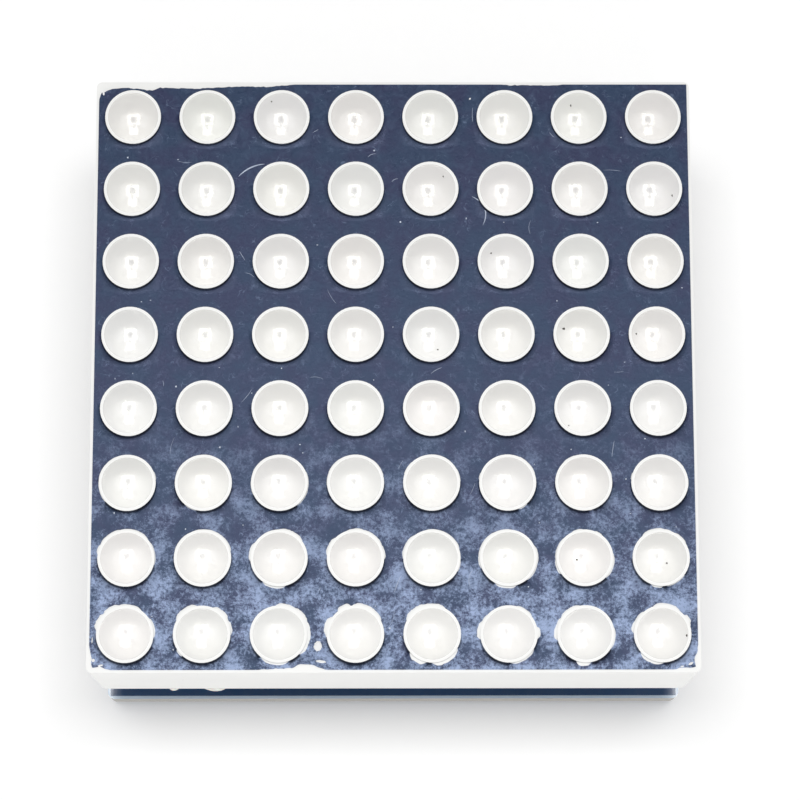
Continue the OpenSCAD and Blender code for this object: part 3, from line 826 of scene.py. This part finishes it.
class DOTMATRIX_OT_scratches(bpy.types.Operator):
    """Scratch the ink: fine burrs that stand a few microns over it"""

    bl_idname = "dotmatrix.scratches"
    bl_label = "Scratch Ink"

    def execute(self, context):
        sizes = context.scene.dot_matrix_sizes
        rng = np.random.default_rng(SEED + 2)
        steps = 14
        s = np.linspace(0, 1, steps)
        # Two deep ones by the third and seventh dots, then fine ones anywhere between the dots
        marks = [([-8.3, 10.7], [-6.9, 11.4], 0.1, 1.6), ([4.2, 9.6], [4.8, 8.0], 0.25, 1.3)]
        while len(marks) < 26:
            start = rng.uniform(-15, 15, 2)
            turn = rng.uniform(0, 2 * np.pi)
            length = rng.uniform(0.3, 1.1)
            end = start + length * np.array([np.cos(turn), np.sin(turn)])
            middle = (start + end) / 2
            local = (np.stack([start, middle, end]) % GRID_MM) - GRID_MM / 2
            if np.all(np.hypot(local[:, 0], local[:, 1]) > 1.62) and np.abs(end).max() < 15.6:
                marks.append((start.tolist(), end.tolist(), rng.uniform(-0.15, 0.15), rng.uniform(0.3, 0.6)))
        points, faces = [], []
        for start, end, bow, wide in marks:
            start, end = np.array(start), np.array(end)
            normal = np.array([-(end - start)[1], (end - start)[0]])
            path = start + np.outer(s, end - start) + np.outer(4 * s * (1 - s) * bow, normal)
            ridge = strip(path * MM, sizes.scratch_width * wide, 0.004 * MM, FACE_Z, taper=0.9)
            faces.append(strip_faces(steps) + 5 * steps * len(points))
            points.append(ridge.reshape(-1, 3))
        finish = dust_finish("scratch_burr", "93A1BC", "D9E1F0")
        piece = mesh_piece("ink_scratches", np.concatenate(points), np.concatenate(faces), finish)
        recalculate(piece)
        return {"FINISHED"}


class DOTMATRIX_OT_dust(bpy.types.Operator):
    """Scatter lint on the ink, and grit on a few dots and on the shell's front wall"""

    bl_idname = "dotmatrix.dust"
    bl_label = "Scatter Dust"

    def execute(self, context):
        sizes = context.scene.dot_matrix_sizes
        rng = np.random.default_rng(SEED + 3)
        count = sizes.dust_count
        # Lint lies thicker towards the front: y is pulled down by squaring an even spread
        tries = np.stack([rng.uniform(-15.5, 15.5, 6 * count), 15.5 - 31 * rng.uniform(0, 1, 6 * count) ** 0.7], -1)
        local = (tries % GRID_MM) - GRID_MM / 2
        spots = tries[np.hypot(local[:, 0], local[:, 1]) > 1.65][:count]
        size = rng.uniform(0.02, 0.055, (len(spots), 3)) * MM * np.array([1, 1, 0.25])
        centre = np.concatenate([spots * MM, np.full((len(spots), 1), FACE_Z)], 1)
        points = blobs(centre, size, rng.uniform(0, 6, len(spots)), 5, 8)
        faces = repeat_faces(grid_faces(5, 8, wrap_columns=True), 40, len(spots))
        lint = mesh_piece("lint", points, faces, dust_finish("pale_lint", "B9C6DE", "F2F6FC"))
        close_ends(lint, 8)

        # Grit on the dots: column, row, place from the dot's middle, length and width
        grit = np.array(
            [
                [7, 4, -0.95, 0.28, 0.16, 0.13],
                [6, 3, -0.78, 0.42, 0.09, 0.09],
                [7, 7, -0.42, -0.12, 0.12, 0.1],
                [8, 7, 0.28, -0.3, 0.1, 0.1],
                [7, 1, -0.42, 0.62, 0.07, 0.14],
                [3, 1, -0.55, 0.85, 0.08, 0.08],
                [8, 4, -1.1, 0.0, 0.08, 0.1],
                [8, 2, 0.95, -0.4, 0.07, 0.12],
                [5, 2, 0.68, 0.66, 0.06, 0.1],
                [5, 4, 0.35, -0.85, 0.1, 0.08],
                [7, 5, -0.75, -0.95, 0.07, 0.07],
                [8, 8, 1.25, -0.1, 0.09, 0.14],
            ]
        )
        at = dot_centres().reshape(DOTS, DOTS, 2)[grit[:, 1].astype(int) - 1, grit[:, 0].astype(int) - 1]
        away = np.hypot(grit[:, 2], grit[:, 3]) * MM
        dome = RIM_Z + (DOME_H - 0.018 * MM) * np.clip(1 - (away / CUP_FRONT_R) ** 2, 0, 1)
        on_ink = away > DOT_R
        centre = np.concatenate([at + grit[:, 2:4] * MM, np.where(on_ink, FACE_Z, dome)[:, None]], 1)
        size = np.stack([grit[:, 4], grit[:, 5], np.full(len(grit), 0.012)], -1) * MM
        size[:, :2] *= 0.5
        # and on the front wall: place along X, height over the pin tips, size
        wall = np.array(
            [[-13.4, 7.8, 0.05], [-11.2, 10.9, 0.1], [-10.3, 13.4, 0.09], [3.6, 6.9, 0.05], [9.7, 11.6, 0.04]]
        )
        wall_at = np.stack([wall[:, 0] * MM, np.full(len(wall), SHELL_LOW.y + 0.012 * MM), wall[:, 1] * MM], -1)
        wall_size = np.stack([wall[:, 2], np.full(len(wall), 0.012), wall[:, 2] * 1.3], -1) * MM
        both = np.concatenate([centre, wall_at]), np.concatenate([size, wall_size])
        points = blobs(*both, rng.uniform(0, 6, len(both[0])), 7, 12)
        faces = repeat_faces(grid_faces(7, 12, wrap_columns=True), 84, len(both[0]))
        dark = mesh_piece("grit", points, faces, dust_finish("dark_grit", "1E1C1A", "4A423B"))
        close_ends(dark, 12)
        return {"FINISHED"}


class DOTMATRIX_OT_tracks(bpy.types.Operator):
    """Run the copper tracks under the solder mask of the driver board's underside"""

    bl_idname = "dotmatrix.tracks"
    bl_label = "Run Board Tracks"

    def execute(self, context):
        sizes = context.scene.dot_matrix_sizes
        under = BOARD_LOW.z
        # Where the tracks of the pin rows bend and end, where those of the side pads do, and the side pads' place
        row_bend, row_end = 6.6 * MM, 4.6 * MM
        side_bend, side_end = 11.4 * MM, 6.5 * MM
        pad_x = 14 * MM - 0.85 * MM
        lines = []
        for side in (-1, 1):
            for k, x in enumerate(PIN_XS):
                inner = x * 0.5
                bend = abs(x - inner)
                rise = PIN_ROW_Y - 0.8 * MM - 0.25 * MM * k
                start = [(x, side * rise), (x, side * (row_bend + bend))]
                lines.append([*start, (inner, side * row_bend), (inner, side * row_end)])
            for k in range(5):
                y = (k - 2) * 2.54 * MM
                start = [(side * pad_x, y), (side * side_bend, y)]
                lines.append([*start, (side * (side_bend - abs(y) * 0.5), y * 0.5), (side * side_end, y * 0.5)])
        points, faces, total = [], [], 0
        for line in lines:
            line = np.array(line)
            path = np.concatenate(
                [a + np.outer(np.linspace(0, 1, 8, endpoint=False), b - a) for a, b in zip(line[:-1], line[1:])]
                + [line[-1:]]
            )
            ridge = strip(path, sizes.track_width, 0.035 * MM, under, up=-1.0)
            faces.append(strip_faces(len(path), -1.0) + total)
            points.append(ridge.reshape(-1, 3))
            total += 5 * len(path)
        finish = mask_finish("solder_mask_over_copper", "2A5F96", "316BA6")
        piece = mesh_piece(
            "board_tracks", np.concatenate(points), np.concatenate(faces), finish, smooth=False
        )
        recalculate(piece)
        return {"FINISHED"}


class DOTMATRIX_OT_finishes(bpy.types.Operator):
    """Give every node of the solid model its finish"""

    bl_idname = "dotmatrix.finishes"
    bl_label = "Apply Finishes"

    def execute(self, context):
        colours = context.scene.dot_matrix_colours
        silver = metal_finish("silver_plating", "E9E8E4", "D6D4CE", 0.25, 0.4, 0.5)
        gold = metal_finish("gold_plating", "E6C486", "CFA75E", 0.2, 0.35, 0.5)
        tin = metal_finish("tinned_brass", "CFCFCD", "B4B4B2", 0.22, 0.4, 0.6)
        solder = metal_finish("reflowed_solder", "D2D2D1", "ABABAA", 0.15, 0.42, 0.35, lift=0.3)
        ceramic = grainy_finish("capacitor_ceramic", "9C7B5B", "8A6A4C", 0.5, 0.2)
        finishes = {
            "shell_plastic": moulding_finish(),
            "face_ink": ink_finish(),
            "milky_epoxy": thick_resin_finish(),
            "led_board_laminate": laminate_finish("D9D7CF", "E4E2DB"),
            "gold_plating": gold,
            "die_crystal": grainy_finish("die_crystal", "55504C", "3A3532", 0.2, 0.1, ior=1.9),
            "bond_wire": metal_finish("aluminium_wire", "DADADA", "C8C8C8", 0.2, 0.3, 0.2),
            "tinned_pin": tin,
            "solder_mask": mask_finish("blue_solder_mask", colours.mask, colours.mask_shade),
            "solder": solder,
            "chip_moulding": grainy_finish("moulded_epoxy_black", "191919", "232324", 0.55, 0.08),
            "tinned_lead": tin,
            "resistor_glaze": grainy_finish("resistor_glaze", "101012", "1A1A1D", 0.25, 0.3, lift=0.08),
            "capacitor_ceramic": ceramic,
        }
        slots = {part["node"]: part["material_slot"] for part in frame["record"]["subparts"]}
        for name, node in frame["nodes"].items():
            node.data.materials.clear()
            node.data.materials.append(silver if name == "led_board_pads" else finishes[slots[name]])
        return {"FINISHED"}


class DOTMATRIX_OT_stage(bpy.types.Operator):
    """Set the floor, the lamps, the sky and the camera"""

    bl_idname = "dotmatrix.stage"
    bl_label = "Set Stage"

    def execute(self, context):
        scene = context.scene
        stage = scene.dot_matrix_stage
        floor_half, floor_glow = 1.5, 0.2
        corners = np.array([[-1, -1, 0], [1, -1, 0], [1, 1, 0], [-1, 1, 0]]) * floor_half
        mesh = bpy.data.meshes.new("floor")
        mesh.from_pydata(corners.tolist(), [], [[0, 1, 2, 3]])
        floor = bpy.data.objects.new("floor", mesh)
        scene.collection.objects.link(floor)
        material, tree, shader, _ = start_material("pale_floor", Base_Color=rgba("F4F4F4"), Roughness=0.9)
        path = add(tree, "ShaderNodeLightPath")
        seen = calculate(tree, "MAXIMUM", path.outputs["Is Camera Ray"], path.outputs["Is Glossy Ray"])
        seen = calculate(tree, "MAXIMUM", seen, path.outputs["Is Transmission Ray"])
        glow = calculate(tree, "MULTIPLY", seen, floor_glow)
        shader.inputs["Emission Color"].default_value = (1, 1, 1, 1)
        tree.links.new(glow, shader.inputs["Emission Strength"])
        mesh.materials.append(material)

        world = bpy.data.worlds.new("studio")
        scene.world = world
        world.use_nodes = True
        tree = world.node_tree
        tree.nodes.clear()
        sky = add(tree, "ShaderNodeBackground", {"Color": (1, 1, 1, 1), "Strength": stage.sky})
        add(tree, "ShaderNodeOutputWorld", {"Surface": sky.outputs[0]})

        for name, place, wide, deep, power in (
            ("key", (0.0, 0.04, 0.514), 0.3, 0.12, stage.key_power),
            ("front", (0.0, -0.6, 0.09), 0.16, 0.16, stage.front_power),
        ):
            lamp = bpy.data.lights.new(name, "AREA")
            lamp.shape = "RECTANGLE"
            lamp.size = wide
            lamp.size_y = deep
            lamp.energy = power
            holder = bpy.data.objects.new(name, lamp)
            scene.collection.objects.link(holder)
            holder.matrix_world = aim(place, (0.0, 0.0, 0.01))

        lens = bpy.data.cameras.new("camera")
        lens.sensor_width = 36
        lens.lens = stage.lens
        lens.shift_y = 0.05
        lens.clip_start = 0.01
        camera = bpy.data.objects.new("camera", lens)
        scene.collection.objects.link(camera)
        to_view = (
            Matrix.Rotation(stage.roll, 4, "Z")
            @ Matrix.Rotation(stage.tilt, 4, "X")
            @ Matrix.Rotation(stage.yaw, 4, "Y")
        )
        camera.matrix_world = Matrix.Translation(stage.camera_place) @ to_view.transposed()
        scene.camera = camera
        scene.view_settings.view_transform = "Standard"
        return {"FINISHED"}


def aim(place, target):
    """World matrix of a lamp at place that shines at target along its own -Z."""
    back = np.array(place) - np.array(target)
    back /= np.linalg.norm(back)
    side = np.cross([0, 1, 0], back)
    side /= np.linalg.norm(side)
    up = np.cross(back, side)
    turned = np.eye(4)
    turned[:3, 0], turned[:3, 1], turned[:3, 2], turned[:3, 3] = side, up, back, place
    return Matrix(turned.tolist())


class DOTMATRIX_PT_panel(bpy.types.Panel):
    """Lists the steps that dress the dot matrix"""

    bl_idname = "DOTMATRIX_PT_panel"
    bl_label = "Dot Matrix"
    bl_space_type = "VIEW_3D"
    bl_region_type = "UI"
    bl_category = "Dot Matrix"

    def draw(self, context):
        scene = context.scene
        for group in (scene.dot_matrix_sizes, scene.dot_matrix_colours, scene.dot_matrix_stage):
            for name in group.__annotations__:
                self.layout.prop(group, name)
        for step in STEPS:
            self.layout.operator(step.bl_idname)


STEPS = (
    DOTMATRIX_OT_finishes,
    DOTMATRIX_OT_dots,
    DOTMATRIX_OT_casting_back,
    DOTMATRIX_OT_ink,
    DOTMATRIX_OT_scratches,
    DOTMATRIX_OT_dust,
    DOTMATRIX_OT_tracks,
    DOTMATRIX_OT_stage,
)
CLASSES = (DotMatrixSizes, DotMatrixColours, DotMatrixStage, *STEPS, DOTMATRIX_PT_panel)


def register():
    for cls in CLASSES:
        bpy.utils.register_class(cls)
    bpy.types.Scene.dot_matrix_sizes = bpy.props.PointerProperty(type=DotMatrixSizes)
    bpy.types.Scene.dot_matrix_colours = bpy.props.PointerProperty(type=DotMatrixColours)
    bpy.types.Scene.dot_matrix_stage = bpy.props.PointerProperty(type=DotMatrixStage)


def unregister():
    del bpy.types.Scene.dot_matrix_stage
    del bpy.types.Scene.dot_matrix_colours
    del bpy.types.Scene.dot_matrix_sizes
    for cls in reversed(CLASSES):
        bpy.utils.unregister_class(cls)


def main():
    register()
    for step in STEPS:
        group, name = step.bl_idname.split(".")
        getattr(getattr(bpy.ops, group), name)()


if __name__ == "__main__":
    main()
